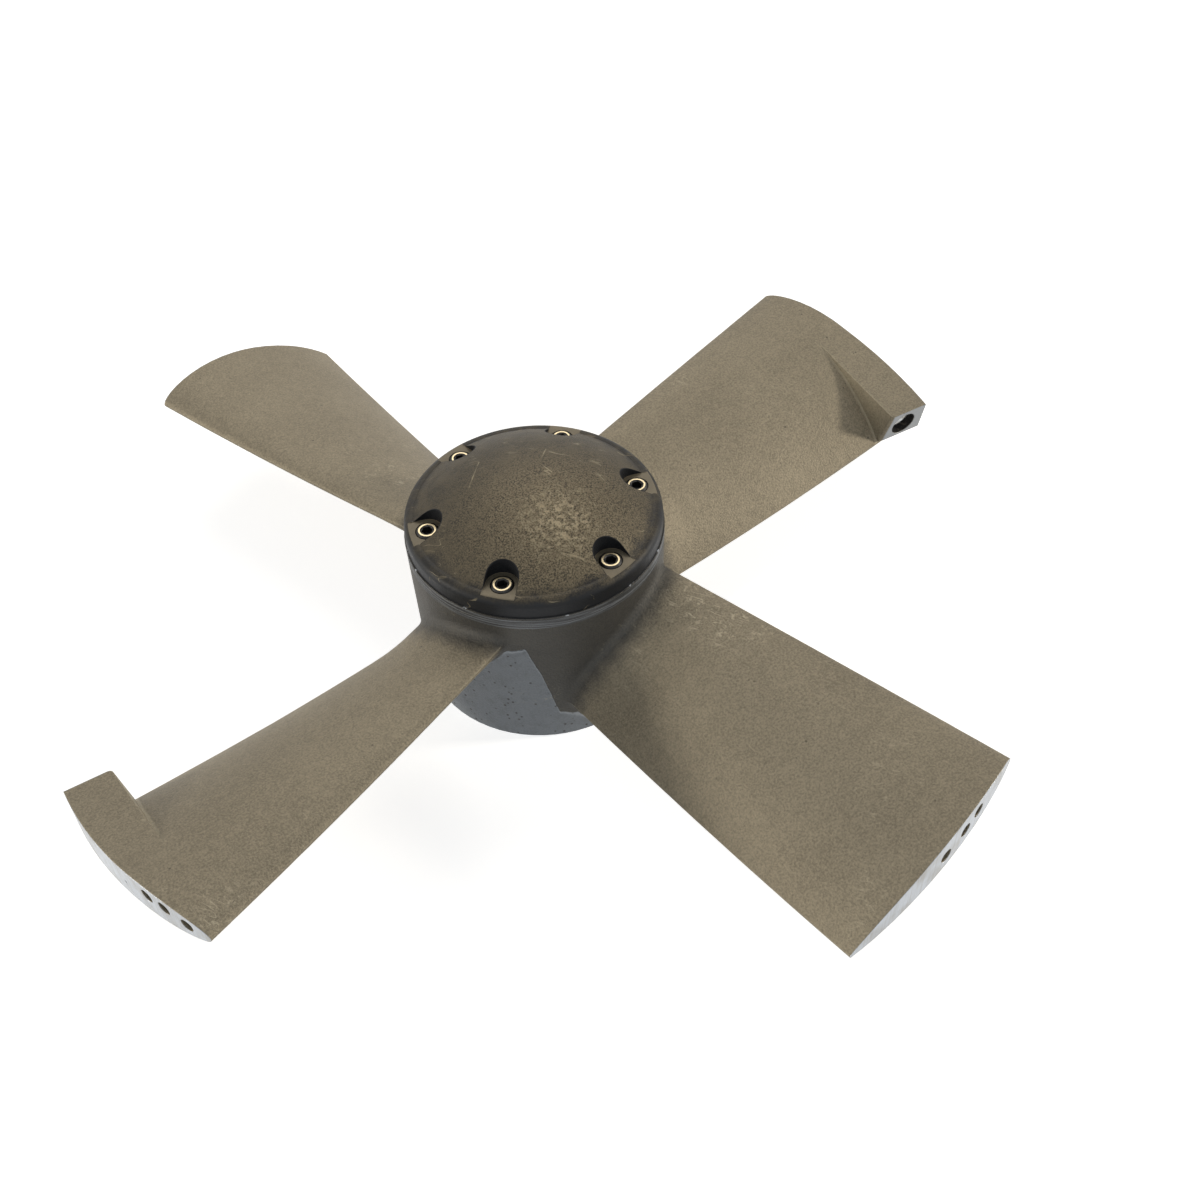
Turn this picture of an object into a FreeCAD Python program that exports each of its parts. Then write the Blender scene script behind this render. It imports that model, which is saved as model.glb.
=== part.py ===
import FreeCAD, Part
import math
import os

# Axial fan impeller, driven by compressed air that leaves at two blade tips.
# Millimetres, +Z up. The origin is the centre of the hub's bottom face, and the
# first nozzle blade points along +X. The hub turns counter-clockwise, seen from +Z.
# A blade is drawn on +X: "reach" runs along X, "offset" along Y, "rise" along Z.

Vector = FreeCAD.Vector
UP = Vector(0, 0, 1)
CENTRE = Vector(0, 0, 0)

# Blades
FAN_RADIUS = 300.0
# What the turning of the tips takes off the cast blades
TIP_STOCK = 3.0
BLADE_COUNT = 4
# The leading and trailing edges, each at the hub, halfway out and at the tip
LEAD_OFFSETS = (56.9, 90.2, 120.7)
LEAD_RISES = (86.7, 80.7, 76.8)
TRAIL_OFFSETS = (-28.1, -22.6, -16.6)
TRAIL_RISES = (31.4, 32.9, 40.2)
# The aerofoil, as shares of its chord
CAMBER_SHARE = 0.062
THICKNESS_SHARE = 0.16
# The power law by which the thickness grows from the trailing edge
THICKNESS_POWER = 0.8
# Where the skins' points lie along the chord, closer together round the nose
SKIN_SHARES = (0.0, 0.12, 0.3, 0.5, 0.68, 0.83, 0.93, 0.98, 0.997)
TRAIL_EDGE_THICKNESS = 2.4
BLADE_STATIONS = 17
# Both skins swell towards the hub, and a fillet closes the corner that is left
ROOT_FLARE = 8.0
ROOT_FLARE_REACH = 34.0
ROOT_FILLET = 6.0
# Where the middle of a blade's quarter of the hub lies, turned from the blade's axis
SECTOR_CENTRE_ANGLE = 10.0

# Hub casting
HUB_HEIGHT = 109.5
HUB_TOP_RADIUS = 76.8
HUB_BASE_RADIUS = 74.2
HUB_EDGE_ROUND = 2.0
HUB_WALL = 9.0
HUB_FLOOR = 12.0
RIM_DEPTH = 26.0
RIM_BORE_RADIUS = 49.0
TOWER_WALL = 8.0

# Nozzle blocks on the tips of two opposite blades. The end face lies behind the tip of
# the trailing edge, and the block's height there reaches above and below that tip
BLOCK_WIDTH = 31.0
BLOCK_DRAFT = 2.0
BLOCK_OVERHANG = 9.9
BLOCK_RISE = 22.4
BLOCK_DROP = 1.1
BLOCK_SLOPE = 0.217
BLOCK_ROOT_OFFSET = 60.0
BLOCK_END_TURN = 6.0
BLOCK_ROUND = 3.0
# How far the nozzle's axis lies inside the tip circle
NOZZLE_INSET = 17.0
NOZZLE_BORE_RADIUS = 9.1
NOZZLE_BORE_DEPTH = 26.0
NOZZLE_RECESS = 6.0
NOZZLE_WALL = 2.3
NOZZLE_LIP = 1.4
NOZZLE_DISH_DEPTH = 4.0
NOZZLE_MOUTH_RADIUS = 5.0
PASSAGE_RADIUS = 5.0

# Balance drillings in the tip faces of two blades: how far forward of the blade's
# axis each lies, and how far above the chord
DRILL_RADIUS = 4.3
DRILL_DEPTH = 14.0
THIRD_BLADE_DRILL_OFFSETS = (99.5, 83.8, 70.5)
THIRD_BLADE_DRILL_RISES = (4.0, 9.5, 11.5)
FOURTH_BLADE_DRILL_OFFSETS = (78.8, 67.1, 50.7)
FOURTH_BLADE_DRILL_RISES = (9.0, 8.2, 8.0)

# Cover
COVER_RADIUS = 76.0
COVER_SIDE_HEIGHT = 7.5
COVER_SHOULDER_RADIUS = 70.0
COVER_SHOULDER_HEIGHT = 12.2
COVER_SHOULDER_BULGE = 1.3
COVER_HEIGHT = 36.0
COVER_WALL = 7.0
COVER_CAVITY_RADIUS = 45.0
SPIGOT_DEPTH = 5.0
SPIGOT_WALL = 4.0
SPIGOT_CLEARANCE = 0.15

# Cover screws, M8 socket heads
SCREW_COUNT = 6
SCREW_CIRCLE_RADIUS = 63.1
SCREW_START_ANGLE = 39.35
SCREW_RADIUS = 4.0
SCREW_LENGTH = 25.0
SCREW_TIP_CHAMFER = 0.8
HEAD_RADIUS = 6.5
HEAD_HEIGHT = 8.0
HEAD_CHAMFER = 0.9
HEAD_SEAT_HEIGHT = 4.9
SOCKET_SIDES = 6
SOCKET_FLATS = 6.0
SOCKET_DEPTH = 4.5
SOCKET_LEAD_IN = 0.45
THREAD_CLEARANCE = 0.02
HOLE_CLEARANCE = 0.5
HEAD_CLEARANCE = 0.5
THREAD_RUN_OUT = 3.0
POCKET_HALF_WIDTH = 9.6
POCKET_FLOOR_HEIGHT = 12.0

# Cover seal
SEAL_RING_RADIUS = 54.3
SEAL_CORD_RADIUS = 1.5
GROOVE_CLEARANCE = 0.3

# Two deep groove ball bearings, 30 x 62 x 16
SPINDLE_RADIUS = 15.0
BEARING_OUTER_RADIUS = 31.0
BEARING_WIDTH = 16.0
BALL_COUNT = 9
BALL_RADIUS = 4.6
BALL_CIRCLE_RADIUS = 23.0
RACE_CLEARANCE = 0.25
INNER_LAND_RADIUS = 20.1
OUTER_LAND_RADIUS = 26.2
RING_CHAMFER = 1.0
CAGE_HALF_WIDTH = 1.5
CAGE_HALF_HEIGHT = 5.8
SHIELD_THICKNESS = 0.6
SHIELD_INSET = 0.7
SHIELD_GAP = 0.4
SPACER_LENGTH = 26.0
INNER_SPACER_WALL = 3.5
OUTER_SPACER_WALL = 4.0
RETAINER_THICKNESS = 2.0
RETAINER_RADIAL = 4.0
RETAINER_GROOVE = 1.5
RETAINER_GAP = 10.0
RETAINER_EYE_RADIUS = 1.2
RETAINER_LUG_RADIUS = 3.0
TOWER_LIP = 4.0

# Shaft seal under the lower bearing
SHAFT_SEAL_RADIUS = 26.0
SHAFT_SEAL_HEIGHT = 7.0
SHAFT_SEAL_RECESS = 2.5
SHAFT_SEAL_WALL = 3.0
SHAFT_SEAL_WEB = 2.0
SHAFT_SEAL_LIP = 1.6
SHAFT_SEAL_LIP_GAP = 0.3

# How far a cutter runs past the face that it opens
OVERCUT = 1.0
# How near an edge lies to a face that it belongs to
EDGE_TOLERANCE = 0.05

# Places that follow from the sizes above
BLOCK_END_OFFSET = TRAIL_OFFSETS[2] - BLOCK_OVERHANG
BLOCK_TOP_RISE = TRAIL_RISES[2] + BLOCK_RISE
BLOCK_HEIGHT = BLOCK_RISE + BLOCK_DROP
BLOCK_INNER_REACH = FAN_RADIUS - BLOCK_WIDTH
NOZZLE_REACH = FAN_RADIUS - NOZZLE_INSET
LOWER_BEARING_BASE = HUB_FLOOR
LOWER_BEARING_TOP = LOWER_BEARING_BASE + BEARING_WIDTH
UPPER_BEARING_BASE = LOWER_BEARING_TOP + SPACER_LENGTH
UPPER_BEARING_TOP = UPPER_BEARING_BASE + BEARING_WIDTH
TOWER_TOP = UPPER_BEARING_TOP + RETAINER_THICKNESS + TOWER_LIP
RIM_BASE = HUB_HEIGHT - RIM_DEPTH
POCKET_FLOOR = HUB_HEIGHT + POCKET_FLOOR_HEIGHT
HEAD_SEAT = HUB_HEIGHT + HEAD_SEAT_HEIGHT


def turned(solid, angle):
    """A copy of a solid, turned about the hub's axis by an angle in degrees."""
    copy = solid.copy()
    copy.rotate(CENTRE, UP, angle)
    return copy


def revolved(points):
    """A full turn about Z of a closed outline of (radius, height) points."""
    corners = [Vector(radius, 0, height) for radius, height in points]
    face = Part.Face(Part.makePolygon(corners + corners[:1]))
    return face.revolve(CENTRE, UP, 360)


def ring(inner_radius, outer_radius, base, height):
    """A plain ring about Z."""
    outer = Part.makeCylinder(outer_radius, height, Vector(0, 0, base))
    inner = Part.makeCylinder(inner_radius, height, Vector(0, 0, base))
    return outer.cut(inner)


def between(values, share):
    """The curve of second order through a value at the hub, halfway out and at the tip."""
    hub, middle, tip = values
    bend = 2 * (hub - 2 * middle + tip)
    slope = tip - hub - bend
    return hub + slope * share + bend * share * share


def edge_points(reach):
    """The trailing and the leading edge of a blade at a distance from the hub's axis."""
    share = (reach - HUB_TOP_RADIUS) / (FAN_RADIUS - HUB_TOP_RADIUS)
    trail = Vector(reach, between(TRAIL_OFFSETS, share), between(TRAIL_RISES, share))
    lead = Vector(reach, between(LEAD_OFFSETS, share), between(LEAD_RISES, share))
    return trail, lead


def arch(share):
    """A bow over the chord, from 0 at both edges to 1 at half chord."""
    return 4 * share * (1 - share)


def thickness(share):
    """The aerofoil's thickness as a share of its greatest, round at the nose."""
    thickest = THICKNESS_POWER / (THICKNESS_POWER + 0.5)
    greatest = math.sqrt(1 - thickest) * thickest ** THICKNESS_POWER
    return math.sqrt(1 - share) * share ** THICKNESS_POWER / greatest


def root_flare(point):
    """How far each skin swells at a point, by how near it is to the hub's side."""
    gap = math.hypot(point.x, point.y) - HUB_TOP_RADIUS
    nearness = min(max(1 - gap / ROOT_FLARE_REACH, 0), 1)
    return ROOT_FLARE * nearness ** 2


def aerofoil_point(reach, share, side):
    """A point of a blade's section, a share of the chord forward of its trailing edge.

    The side is 1 on the top skin, -1 on the bottom skin and 0 on the camber line.
    """
    trail, lead = edge_points(reach)
    chord = lead - trail
    middle = trail + chord * share
    upward = Vector(1, 0, 0).cross(chord)
    half = THICKNESS_SHARE / 2 * thickness(share)
    edge = TRAIL_EDGE_THICKNESS / 2 * (1 - share) / chord.Length
    flare = root_flare(middle) * arch(share) / chord.Length
    return middle + upward * (CAMBER_SHARE * arch(share) + side * (half + edge + flare))


def aerofoil(reach):
    """The closed section of a blade at a distance from the hub's axis."""
    nose = aerofoil_point(reach, 1.0, 0)
    top_points = [aerofoil_point(reach, share, 1) for share in SKIN_SHARES] + [nose]
    bottom_points = [aerofoil_point(reach, share, -1) for share in SKIN_SHARES] + [nose]
    top_skin = Part.BSplineCurve()
    top_skin.interpolate(top_points)
    bottom_skin = Part.BSplineCurve()
    bottom_skin.interpolate(bottom_points[::-1])
    trailing_edge = Part.makeLine(bottom_points[0], top_points[0])
    return Part.Wire([top_skin.toShape(), bottom_skin.toShape(), trailing_edge])


def blade():
    """One blade on +X, from inside the hub out to the turned tip."""
    inner_reach = HUB_BASE_RADIUS / 2
    step = (FAN_RADIUS + TIP_STOCK - inner_reach) / (BLADE_STATIONS - 1)
    sections = [aerofoil(inner_reach + step * index) for index in range(BLADE_STATIONS)]
    loft = Part.makeLoft(sections, True, False)
    return loft.common(Part.makeCylinder(FAN_RADIUS, HUB_HEIGHT))


def block_axis():
    """The direction from the nozzle block's end face back along its bore."""
    turn = math.radians(BLOCK_END_TURN)
    axis = Vector(math.sin(turn), math.cos(turn), BLOCK_SLOPE)
    axis.normalize()
    return axis


def nozzle_centre():
    """The centre of the bore on the nozzle block's end face."""
    turn = math.radians(BLOCK_END_TURN)
    offset = BLOCK_END_OFFSET + NOZZLE_INSET * math.tan(turn)
    return Vector(NOZZLE_REACH, offset, BLOCK_TOP_RISE - BLOCK_HEIGHT / 2)


def block_section(offset, base_slope):
    """The block's outline across its length, between its two sloping lines."""
    ahead = offset - BLOCK_END_OFFSET
    top = BLOCK_TOP_RISE + BLOCK_SLOPE * ahead
    base = BLOCK_TOP_RISE - BLOCK_HEIGHT + base_slope * ahead
    outer = FAN_RADIUS + BLOCK_WIDTH
    corners = [Vector(outer, offset, top),
               Vector(BLOCK_INNER_REACH + BLOCK_DRAFT, offset, top),
               Vector(BLOCK_INNER_REACH - BLOCK_DRAFT, offset, base),
               Vector(outer, offset, base)]
    return Part.makePolygon(corners + corners[:1])


def nozzle_block():
    """The block along a nozzle blade's tip, straight where the blade curves down."""
    # The underside rises to the blade's chord, so that the block ends inside the blade
    trail, lead = edge_points(BLOCK_INNER_REACH)
    root_share = (BLOCK_ROOT_OFFSET - trail.y) / (lead.y - trail.y)
    root_base = trail.z + (lead.z - trail.z) * root_share
    base_rise = root_base - BLOCK_TOP_RISE + BLOCK_HEIGHT
    base_slope = base_rise / (BLOCK_ROOT_OFFSET - BLOCK_END_OFFSET)
    behind = block_section(BLOCK_END_OFFSET - BLOCK_WIDTH, base_slope)
    root = block_section(BLOCK_ROOT_OFFSET, base_slope)
    block = Part.makeLoft([behind, root], True, True)
    # The end face is machined square to the bore
    stock = Part.makeBox(FAN_RADIUS, FAN_RADIUS, FAN_RADIUS,
                         Vector(-FAN_RADIUS / 2, -FAN_RADIUS / 2, 0))
    facing = FreeCAD.Placement(nozzle_centre(), FreeCAD.Rotation(UP, block_axis() * -1))
    stock.Placement = facing
    block = block.cut(stock)
    block = block.common(Part.makeCylinder(FAN_RADIUS, HUB_HEIGHT))
    corners = [edge for edge in block.Edges if is_block_corner(edge)]
    return block.makeFillet(BLOCK_ROUND, corners)


def is_block_corner(edge):
    """True for the upright corner between the end face and the inner wall."""
    middle = edge.CenterOfMass
    on_wall = abs(middle.x - BLOCK_INNER_REACH) < BLOCK_DRAFT
    upright = abs(middle.z - nozzle_centre().z) < BLOCK_HEIGHT / 4
    return on_wall and upright and middle.y < 0


def nozzle_cut():
    """The bore for the nozzle insert, and the narrower way behind it to the passage."""
    axis = block_axis()
    mouth = nozzle_centre()
    before = mouth - axis * NOZZLE_BORE_RADIUS
    seat = Part.makeCylinder(NOZZLE_BORE_RADIUS, NOZZLE_BORE_RADIUS + NOZZLE_BORE_DEPTH,
                             before, axis)
    end = passage_centre(NOZZLE_REACH)
    way_length = (end - mouth).dot(axis) + PASSAGE_RADIUS
    way = Part.makeCylinder(PASSAGE_RADIUS, way_length, mouth, axis)
    return seat.fuse(way)


def passage_centre(reach):
    """The middle of the air passage, on the camber line at half chord."""
    return aerofoil_point(reach, 0.5, 0)


def passage():
    """The drilled air passage, from the hub's chamber to the way behind the nozzle."""
    start = passage_centre(HUB_BASE_RADIUS - 2 * HUB_WALL)
    end = passage_centre(NOZZLE_REACH)
    length = (end - start).Length + PASSAGE_RADIUS
    return Part.makeCylinder(PASSAGE_RADIUS, length, start, end - start)


def drillings(offsets, rises):
    """Blind balance drillings in a tip face, as a list of cylinders."""
    cutters = []
    for offset, above_chord in zip(offsets, rises):
        reach = math.sqrt(FAN_RADIUS ** 2 - offset ** 2)
        trail, lead = edge_points(reach)
        share = (offset - trail.y) / (lead.y - trail.y)
        rise = trail.z + (lead.z - trail.z) * share + above_chord
        outward = Vector(reach, offset, 0)
        outward.normalize()
        start = outward * (FAN_RADIUS - DRILL_DEPTH)
        base = Vector(start.x, start.y, rise)
        cutters.append(Part.makeCylinder(DRILL_RADIUS, DRILL_DEPTH * 2, base, outward))
    return cutters


def screw_places():
    """The axes of the cover screws, as points at height zero."""
    places = []
    for index in range(SCREW_COUNT):
        angle = math.radians(SCREW_START_ANGLE + index * 360.0 / SCREW_COUNT)
        places.append(Vector(math.cos(angle), math.sin(angle), 0) * SCREW_CIRCLE_RADIUS)
    return places


def hub_blank():
    """The solid outside form of the hub, a slight cone."""
    blank = Part.makeCone(HUB_BASE_RADIUS, HUB_TOP_RADIUS, HUB_HEIGHT)
    base_edges = [edge for edge in blank.Edges
                  if edge.CenterOfMass.z < EDGE_TOLERANCE and edge.Closed]
    return blank.makeFillet(HUB_EDGE_ROUND, base_edges)


def hub_chamber():
    """The ring-shaped air chamber between the outer wall and the bearing tower."""
    tower_radius = BEARING_OUTER_RADIUS + TOWER_WALL
    base_radius = HUB_BASE_RADIUS - HUB_WALL
    top_radius = HUB_TOP_RADIUS - HUB_WALL
    chamfer = top_radius - RIM_BORE_RADIUS
    return revolved([(tower_radius, HUB_FLOOR),
                     (base_radius, HUB_FLOOR),
                     (top_radius, RIM_BASE - chamfer / 2),
                     (RIM_BORE_RADIUS, RIM_BASE),
                     (RIM_BORE_RADIUS, HUB_HEIGHT + OVERCUT),
                     (0, HUB_HEIGHT + OVERCUT),
                     (0, TOWER_TOP),
                     (tower_radius, TOWER_TOP)])


def spindle_bore():
    """The stepped bore through the tower for the seal, the bearings and the retaining ring."""
    groove_base = UPPER_BEARING_TOP
    groove_radius = BEARING_OUTER_RADIUS + RETAINER_GROOVE
    return revolved([(0, -OVERCUT),
                     (SHAFT_SEAL_RADIUS, -OVERCUT),
                     (SHAFT_SEAL_RADIUS, LOWER_BEARING_BASE),
                     (BEARING_OUTER_RADIUS, LOWER_BEARING_BASE),
                     (BEARING_OUTER_RADIUS, groove_base),
                     (groove_radius, groove_base),
                     (groove_radius, groove_base + RETAINER_THICKNESS),
                     (BEARING_OUTER_RADIUS, groove_base + RETAINER_THICKNESS),
                     (BEARING_OUTER_RADIUS, TOWER_TOP + OVERCUT),
                     (0, TOWER_TOP + OVERCUT)])


def blade_root_edges(shape):
    """The edges where a blade's skins meet the hub's side, without the hub's own seam."""
    found = []
    for edge in shape.Edges:
        low, high = edge.ParameterRange
        spots = [edge.valueAt(low), edge.valueAt((low + high) / 2), edge.valueAt(high)]
        on_side = [hub_side_gap(spot) < EDGE_TOLERANCE for spot in spots]
        within = [HUB_EDGE_ROUND < spot.z < HUB_HEIGHT - EDGE_TOLERANCE for spot in spots]
        seam = isinstance(edge.Curve, Part.Line)
        if all(on_side) and all(within) and not edge.Closed and not seam:
            found.append(edge)
    return found


def hub_side_gap(point):
    """How far a point lies from the hub's conical side, measured level."""
    share = point.z / HUB_HEIGHT
    radius = HUB_BASE_RADIUS + (HUB_TOP_RADIUS - HUB_BASE_RADIUS) * share
    return abs(math.hypot(point.x, point.y) - radius)


def sector_wedge():
    """The quarter of the space round one blade that the hub is split into."""
    wedge = Part.makeCylinder(2 * FAN_RADIUS, HUB_HEIGHT, CENTRE, UP, 360.0 / BLADE_COUNT)
    return turned(wedge, SECTOR_CENTRE_ANGLE - 180.0 / BLADE_COUNT)


def blade_sector(fan_blade):
    """A quarter of the casting: one blade, its root fillet and its share of the hub."""
    sector = hub_blank().fuse(fan_blade).removeSplitter()
    sector = sector.makeFillet(ROOT_FILLET, blade_root_edges(sector))
    return sector.common(sector_wedge())


def impeller():
    """The one-piece casting: hub, four blades and two nozzle blocks."""
    plain = blade()
    quarters = [blade_sector(plain.fuse(nozzle_block())), blade_sector(plain)]
    step = 360.0 / BLADE_COUNT
    body = quarters[0].fuse([turned(quarters[index % 2], index * step)
                             for index in range(1, BLADE_COUNT)]).removeSplitter()
    cutters = [hub_chamber(), spindle_bore()]
    for index in range(0, BLADE_COUNT, 2):
        cutters.append(turned(passage(), index * step))
        cutters.append(turned(nozzle_cut(), index * step))
    third = drillings(THIRD_BLADE_DRILL_OFFSETS, THIRD_BLADE_DRILL_RISES)
    fourth = drillings(FOURTH_BLADE_DRILL_OFFSETS, FOURTH_BLADE_DRILL_RISES)
    cutters += [turned(drill, 2 * step) for drill in third]
    cutters += [turned(drill, 3 * step) for drill in fourth]
    thread_radius = SCREW_RADIUS + THREAD_CLEARANCE
    thread_base = HEAD_SEAT - SCREW_LENGTH - THREAD_RUN_OUT
    for place in screw_places():
        cutters.append(Part.makeCylinder(thread_radius, HUB_HEIGHT, place + UP * thread_base))
    groove_depth = 2 * SEAL_CORD_RADIUS
    groove_half = SEAL_CORD_RADIUS + GROOVE_CLEARANCE
    cutters.append(ring(SEAL_RING_RADIUS - groove_half, SEAL_RING_RADIUS + groove_half,
                        HUB_HEIGHT - groove_depth, groove_depth))
    return body.cut(cutters)


def cover_blank():
    """The domed cover without its pockets, with the spigot that centres it in the rim."""
    base = HUB_HEIGHT
    dome_drop = COVER_HEIGHT - COVER_SHOULDER_HEIGHT
    dome_radius = (COVER_SHOULDER_RADIUS ** 2 + dome_drop ** 2) / (2 * dome_drop)
    dome_centre = base + COVER_HEIGHT - dome_radius
    half_angle = math.asin(COVER_SHOULDER_RADIUS / dome_radius) / 2
    apex = Vector(0, 0, base + COVER_HEIGHT)
    dome_middle = Vector(dome_radius * math.sin(half_angle), 0,
                         dome_centre + dome_radius * math.cos(half_angle))
    shoulder = Vector(COVER_SHOULDER_RADIUS, 0, base + COVER_SHOULDER_HEIGHT)
    side_top = Vector(COVER_RADIUS, 0, base + COVER_SIDE_HEIGHT)
    bulge = Vector(COVER_SHOULDER_BULGE, 0, COVER_SHOULDER_BULGE)
    shoulder_middle = (shoulder + side_top) / 2 + bulge
    spigot_radius = RIM_BORE_RADIUS - SPIGOT_CLEARANCE
    inner_radius = spigot_radius - SPIGOT_WALL
    outline = [Part.Arc(apex, dome_middle, shoulder).toShape(),
               Part.Arc(shoulder, shoulder_middle, side_top).toShape()]
    outline.append(Part.makePolygon([side_top,
                                     Vector(COVER_RADIUS, 0, base),
                                     Vector(spigot_radius, 0, base),
                                     Vector(spigot_radius, 0, base - SPIGOT_DEPTH),
                                     Vector(inner_radius, 0, base - SPIGOT_DEPTH),
                                     Vector(inner_radius, 0, base),
                                     Vector(0, 0, base),
                                     apex]))
    edges = [edge for piece in outline for edge in piece.Edges]
    blank = Part.Face(Part.Wire(edges)).revolve(CENTRE, UP, 360)
    # The underside is hollow, a dome with the same centre inside a straight wall
    cavity = Part.makeSphere(dome_radius - COVER_WALL, Vector(0, 0, dome_centre))
    well = Part.makeCylinder(min(COVER_CAVITY_RADIUS, inner_radius), COVER_HEIGHT,
                             Vector(0, 0, base - OVERCUT))
    return blank.cut(cavity.common(well))


def screw_pocket():
    """The pocket for the screw on +X: round behind the screw, open outwards."""
    floor = Vector(SCREW_CIRCLE_RADIUS, 0, POCKET_FLOOR)
    back = Part.makeCylinder(POCKET_HALF_WIDTH, COVER_HEIGHT, floor)
    corner = floor - Vector(0, POCKET_HALF_WIDTH, 0)
    slot = Part.makeBox(COVER_RADIUS, 2 * POCKET_HALF_WIDTH, COVER_HEIGHT, corner)
    seat = Vector(SCREW_CIRCLE_RADIUS, 0, HEAD_SEAT)
    counterbore = Part.makeCylinder(HEAD_RADIUS + HEAD_CLEARANCE, COVER_HEIGHT, seat)
    hole_base = Vector(SCREW_CIRCLE_RADIUS, 0, HUB_HEIGHT - OVERCUT)
    hole = Part.makeCylinder(SCREW_RADIUS + HOLE_CLEARANCE, COVER_HEIGHT, hole_base)
    return back.fuse([slot, counterbore, hole])


def hub_cover():
    """The cast cover with a pocket for each screw."""
    pocket = screw_pocket()
    step = 360.0 / SCREW_COUNT
    pockets = [turned(pocket, SCREW_START_ANGLE + index * step) for index in range(SCREW_COUNT)]
    return cover_blank().cut(pockets)


def cover_screw():
    """One socket head screw on +X, its head on the counterbore's seat."""
    head = Part.makeCylinder(HEAD_RADIUS, HEAD_HEIGHT, Vector(0, 0, 0))
    top = [edge for edge in head.Edges if edge.Closed and edge.CenterOfMass.z > HEAD_HEIGHT / 2]
    head = head.makeChamfer(HEAD_CHAMFER, top)
    shank = Part.makeCylinder(SCREW_RADIUS, SCREW_LENGTH, Vector(0, 0, -SCREW_LENGTH))
    tip = [edge for edge in shank.Edges if edge.Closed and edge.CenterOfMass.z < -SCREW_LENGTH / 2]
    shank = shank.makeChamfer(SCREW_TIP_CHAMFER, tip)
    corner_radius = SOCKET_FLATS / 2 / math.cos(math.pi / SOCKET_SIDES)
    corners = []
    for index in range(SOCKET_SIDES):
        angle = math.radians(index * 360.0 / SOCKET_SIDES)
        corners.append(Vector(math.cos(angle), math.sin(angle), 0) * corner_radius)
    socket = Part.Face(Part.makePolygon(corners + corners[:1])).extrude(UP * SOCKET_DEPTH)
    socket.translate(UP * (HEAD_HEIGHT - SOCKET_DEPTH))
    entry = Part.makeCone(corner_radius, corner_radius + SOCKET_LEAD_IN, SOCKET_LEAD_IN,
                          Vector(0, 0, HEAD_HEIGHT - SOCKET_LEAD_IN))
    screw = head.fuse(shank).cut([socket, entry])
    screw.translate(Vector(SCREW_CIRCLE_RADIUS, 0, HEAD_SEAT))
    return screw


def cover_screws():
    """All the cover screws, as separate solids."""
    screw = cover_screw()
    step = 360.0 / SCREW_COUNT
    return Part.makeCompound([turned(screw, SCREW_START_ANGLE + index * step)
                              for index in range(SCREW_COUNT)])


def cover_seal():
    """The round cord ring in the hub's groove, just touching the cover."""
    return Part.makeTorus(SEAL_RING_RADIUS, SEAL_CORD_RADIUS,
                          Vector(0, 0, HUB_HEIGHT - SEAL_CORD_RADIUS))


def nozzle_insert():
    """The turned nozzle in its block's bore on +X, narrowing to its mouth."""
    length = NOZZLE_BORE_DEPTH - NOZZLE_RECESS
    sleeve = Part.makeCylinder(NOZZLE_BORE_RADIUS, length)
    throat = Part.makeCone(NOZZLE_MOUTH_RADIUS, NOZZLE_BORE_RADIUS - NOZZLE_WALL, length)
    dish = Part.makeCone(NOZZLE_BORE_RADIUS - NOZZLE_LIP, NOZZLE_MOUTH_RADIUS, NOZZLE_DISH_DEPTH)
    insert = sleeve.cut([throat, dish])
    axis = block_axis()
    face = nozzle_centre() + axis * NOZZLE_RECESS
    insert.Placement = FreeCAD.Placement(face, FreeCAD.Rotation(UP, axis))
    return insert


def race_torus(middle):
    """The groove that the balls run in, cut from both rings of a bearing."""
    return Part.makeTorus(BALL_CIRCLE_RADIUS, BALL_RADIUS + RACE_CLEARANCE, middle)


def chamfered_ring(inner_radius, outer_radius, base, height, bored):
    """A bearing ring, with its seat's corners broken: the bore's or the outside's."""
    cut = RING_CHAMFER
    if bored:
        outline = [(inner_radius, base + cut), (inner_radius + cut, base),
                   (outer_radius, base), (outer_radius, base + height),
                   (inner_radius + cut, base + height), (inner_radius, base + height - cut)]
    else:
        outline = [(inner_radius, base), (outer_radius - cut, base),
                   (outer_radius, base + cut), (outer_radius, base + height - cut),
                   (outer_radius - cut, base + height), (inner_radius, base + height)]
    return revolved(outline)


def bearing_balls(middle):
    """The balls of one bearing, as separate solids."""
    balls = []
    for index in range(BALL_COUNT):
        ball = Part.makeSphere(BALL_RADIUS, Vector(BALL_CIRCLE_RADIUS, 0, 0) + middle)
        balls.append(turned(ball, index * 360.0 / BALL_COUNT))
    return Part.makeCompound(balls)


def bearing_cage(middle):
    """The cage, a band with a drilled pocket for each ball."""
    band = ring(BALL_CIRCLE_RADIUS - CAGE_HALF_WIDTH, BALL_CIRCLE_RADIUS + CAGE_HALF_WIDTH,
                middle.z - CAGE_HALF_HEIGHT, 2 * CAGE_HALF_HEIGHT)
    pocket = Part.makeCylinder(BALL_RADIUS + RACE_CLEARANCE, BALL_CIRCLE_RADIUS, middle,
                               Vector(1, 0, 0))
    pocket.translate(Vector(BALL_CIRCLE_RADIUS / 2, 0, 0))
    step = 360.0 / BALL_COUNT
    return band.cut([turned(pocket, index * step) for index in range(BALL_COUNT)])


def bearing_shields(base):
    """The two shields, fixed in the outer ring and clear of the inner one."""
    inner = INNER_LAND_RADIUS + SHIELD_GAP
    low = ring(inner, OUTER_LAND_RADIUS, base + SHIELD_INSET, SHIELD_THICKNESS)
    high_base = base + BEARING_WIDTH - SHIELD_INSET - SHIELD_THICKNESS
    high = ring(inner, OUTER_LAND_RADIUS, high_base, SHIELD_THICKNESS)
    return Part.makeCompound([low, high])


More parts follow.
